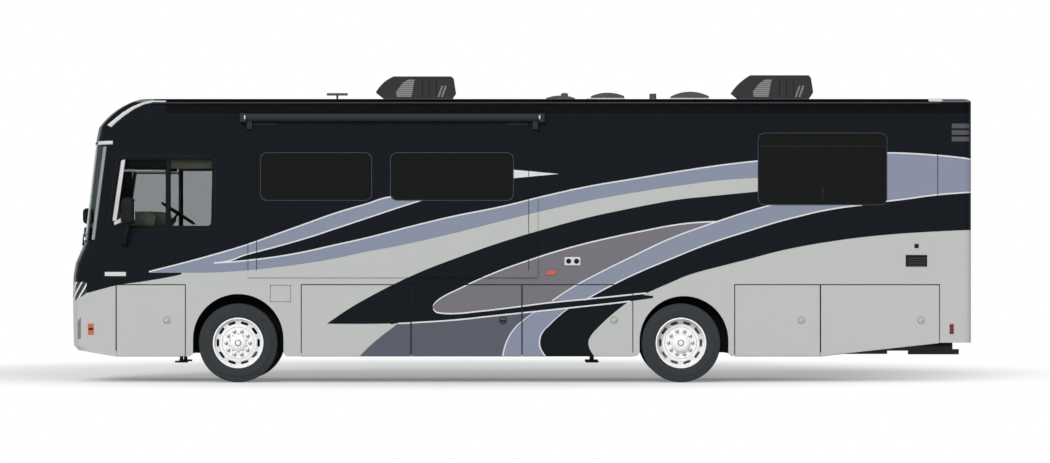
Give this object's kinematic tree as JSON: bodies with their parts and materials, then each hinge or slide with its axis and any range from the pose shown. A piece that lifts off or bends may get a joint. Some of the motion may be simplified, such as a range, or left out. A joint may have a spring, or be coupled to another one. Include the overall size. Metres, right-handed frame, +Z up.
{
  "type": "motorhome",
  "caption": "Bus-style motorhome with rear engine, twin rear tyres, slide-out room, side bay doors, entry door with step, roof air units and panoramic windshield.",
  "frame": {"origin": "centre of the footprint, on the ground between the wheels", "axes": "-X towards the nose, -Y towards the driver's side, +Z up"},
  "size_m": [10.8, 3.08, 3.696],
  "materials": {
    "body_paint": "gloss dark blue-black paint with silver lower body and grey-blue sweeps",
    "silver_paint": "gloss silver-grey paint on the bay doors and lower panels",
    "roof_skin": "white moulded glass-fibre roof",
    "dark_glass": "dark tinted toughened glass",
    "clear_glass": "lightly tinted laminated glass",
    "frame_steel": "black chassis paint",
    "cast_parts": "cast and painted black",
    "polished_wheel": "polished forged aluminium",
    "tyre": "black tyre rubber",
    "black_plastic": "textured black moulding",
    "grey_plastic": "dark grey moulded shroud",
    "white_plastic": "white moulded plastic",
    "lamp_lens": "clear lens over bright reflectors",
    "seat_leather": "tan upholstery",
    "floor_board": "boarded floor with vinyl",
    "awning_case": "anodised case and roller",
    "basement_lining": "black lined compartments",
    "fittings": "small moulded fittings"
  },
  "bodies": {
    "coach": {"front_cap": "body_paint", "windshield": "clear_glass", "left_wall": "body_paint", "right_wall": "body_paint", "side_windows": "clear_glass", "roof": "roof_skin", "rear_cap": "body_paint", "skirt_panels": "silver_paint", "basement_tubs": "basement_lining", "wheel_arch_liners": "black_plastic", "cabin_floor": "floor_board", "step_housing": "frame_steel", "chassis_frame": "frame_steel", "engine_block": "cast_parts", "exhaust_pipe": "cast_parts", "front_axle": "cast_parts", "rear_axle": "cast_parts", "suspension": "black_plastic", "levelling_jacks": "frame_steel", "dashboard": "black_plastic", "cab_seats": "seat_leather", "roof_air_units": "grey_plastic", "roof_vents": "white_plastic", "patio_awning": "awning_case", "mirrors": "black_plastic", "lamps": "lamp_lens", "body_fittings": "fittings"},
    "slide_out": {"slide_room": "body_paint", "slide_windows": "dark_glass", "slide_topper": "awning_case"},
    "entry_door": {"entry_door": "body_paint", "entry_door_glass": "dark_glass"},
    "entry_step": {"entry_step": "awning_case"},
    "engine_hatch": {"engine_hatch": "body_paint"},
    "fuel_lid": {"fuel_lid": "silver_paint"},
    "steering_wheel": {"steering_wheel": "black_plastic"},
    "knuckle_left": {"knuckle_left": "cast_parts"},
    "knuckle_right": {"knuckle_right": "cast_parts"},
    "wheel_front_left": {"front_left_rim": "polished_wheel", "front_left_tyre": "tyre"},
    "wheel_front_right": {"front_right_rim": "polished_wheel", "front_right_tyre": "tyre"},
    "wheels_rear_left": {"rear_left_rims": "polished_wheel", "rear_left_tyres": "tyre"},
    "wheels_rear_right": {"rear_right_rims": "polished_wheel", "rear_right_tyres": "tyre"},
    "bay_door_left_1": {"bay_door_left_1": "silver_paint"},
    "bay_door_left_2": {"bay_door_left_2": "silver_paint"},
    "bay_door_left_3": {"bay_door_left_3": "silver_paint"},
    "bay_door_left_4": {"bay_door_left_4": "silver_paint"},
    "bay_door_left_5": {"bay_door_left_5": "silver_paint"},
    "bay_door_left_6": {"bay_door_left_6": "silver_paint"},
    "bay_door_right_1": {"bay_door_right_1": "silver_paint"},
    "bay_door_right_2": {"bay_door_right_2": "silver_paint"},
    "bay_door_right_3": {"bay_door_right_3": "silver_paint"},
    "bay_door_right_4": {"bay_door_right_4": "silver_paint"},
    "bay_door_right_5": {"bay_door_right_5": "silver_paint"},
    "bay_door_right_6": {"bay_door_right_6": "silver_paint"}
  },
  "joints": [
    {"name": "slide_out_travel", "type": "slide", "parent": "coach", "child": "slide_out", "axis": [0, -1, 0], "range_m": [0, 0.8]},
    {"name": "entry_door_hinge", "type": "hinge", "parent": "coach", "child": "entry_door", "pos_m": [-2.602, 1.289, 1.5], "axis": [0, 0, 1], "range_deg": [0, 95]},
    {"name": "entry_step_travel", "type": "slide", "parent": "coach", "child": "entry_step", "axis": [0, 1, 0], "range_m": [0, 0.28]},
    {"name": "engine_hatch_hinge", "type": "hinge", "parent": "coach", "child": "engine_hatch", "pos_m": [5.4, 0, 1.56], "axis": [0, -1, 0], "range_deg": [0, 80]},
    {"name": "fuel_lid_hinge", "type": "hinge", "parent": "coach", "child": "fuel_lid", "pos_m": [-2.969, -1.289, 1.064], "axis": [0, 0, -1], "range_deg": [0, 90]},
    {"name": "steer_left", "type": "hinge", "parent": "coach", "child": "knuckle_left", "pos_m": [-3.359, -1, 0.473], "axis": [0, 0, 1], "range_deg": [-40, 40]},
    {"name": "steer_right", "type": "hinge", "parent": "coach", "child": "knuckle_right", "pos_m": [-3.359, 1, 0.473], "axis": [0, 0, 1], "range_deg": [-40, 40]},
    {"name": "steering_wheel_turn", "type": "hinge", "parent": "coach", "child": "steering_wheel", "pos_m": [-4.11, -0.62, 2.025], "axis": [0.5446, 0, 0.8387], "range_deg": [-645, 645]},
    {"name": "roll_front_left", "type": "hinge", "parent": "knuckle_left", "child": "wheel_front_left", "pos_m": [-3.359, -1.125, 0.473], "axis": [0, 1, 0], "continuous": true},
    {"name": "roll_front_right", "type": "hinge", "parent": "knuckle_right", "child": "wheel_front_right", "pos_m": [-3.359, 1.125, 0.473], "axis": [0, 1, 0], "continuous": true},
    {"name": "roll_rear_left", "type": "hinge", "parent": "coach", "child": "wheels_rear_left", "pos_m": [1.932, -1.14, 0.473], "axis": [0, 1, 0], "continuous": true},
    {"name": "roll_rear_right", "type": "hinge", "parent": "coach", "child": "wheels_rear_right", "pos_m": [1.932, 1.14, 0.473], "axis": [0, 1, 0], "continuous": true},
    {"name": "bay_left_1_hinge", "type": "hinge", "parent": "coach", "child": "bay_door_left_1", "pos_m": [-4.811, -1.289, 0.75], "axis": [0, 0, -1], "range_deg": [0, 90]},
    {"name": "bay_left_2_hinge", "type": "hinge", "parent": "coach", "child": "bay_door_left_2", "pos_m": [-2.602, -1.289, 0.75], "axis": [0, 0, -1], "range_deg": [0, 90]},
    {"name": "bay_left_3_hinge", "type": "hinge", "parent": "coach", "child": "bay_door_left_3", "pos_m": [-1.289, -1.289, 0.75], "axis": [0, 0, -1], "range_deg": [0, 90]},
    {"name": "bay_left_4_hinge", "type": "hinge", "parent": "coach", "child": "bay_door_left_4", "pos_m": [0.036, -1.289, 0.75], "axis": [0, 0, -1], "range_deg": [0, 90]},
    {"name": "bay_left_5_hinge", "type": "hinge", "parent": "coach", "child": "bay_door_left_5", "pos_m": [2.573, -1.289, 0.75], "axis": [0, 0, -1], "range_deg": [0, 90]},
    {"name": "bay_left_6_hinge", "type": "hinge", "parent": "coach", "child": "bay_door_left_6", "pos_m": [3.599, -1.289, 0.75], "axis": [0, 0, -1], "range_deg": [0, 90]},
    {"name": "bay_right_1_hinge", "type": "hinge", "parent": "coach", "child": "bay_door_right_1", "pos_m": [-4.811, 1.289, 0.75], "axis": [0, 0, 1], "range_deg": [0, 90]},
    {"name": "bay_right_2_hinge", "type": "hinge", "parent": "coach", "child": "bay_door_right_2", "pos_m": [-1.816, 1.289, 0.75], "axis": [0, 0, 1], "range_deg": [0, 90]},
    {"name": "bay_right_3_hinge", "type": "hinge", "parent": "coach", "child": "bay_door_right_3", "pos_m": [-1.289, 1.289, 0.75], "axis": [0, 0, 1], "range_deg": [0, 90]},
    {"name": "bay_right_4_hinge", "type": "hinge", "parent": "coach", "child": "bay_door_right_4", "pos_m": [0.036, 1.289, 0.75], "axis": [0, 0, 1], "range_deg": [0, 90]},
    {"name": "bay_right_5_hinge", "type": "hinge", "parent": "coach", "child": "bay_door_right_5", "pos_m": [2.573, 1.289, 0.75], "axis": [0, 0, 1], "range_deg": [0, 90]},
    {"name": "bay_right_6_hinge", "type": "hinge", "parent": "coach", "child": "bay_door_right_6", "pos_m": [3.599, 1.289, 0.75], "axis": [0, 0, 1], "range_deg": [0, 90]}
  ],
  "couplings": [
    {"joint": "steer_right", "follows": "steer_left", "ratio": 1},
    {"joint": "steering_wheel_turn", "follows": "steer_left", "ratio": 16}
  ]
}
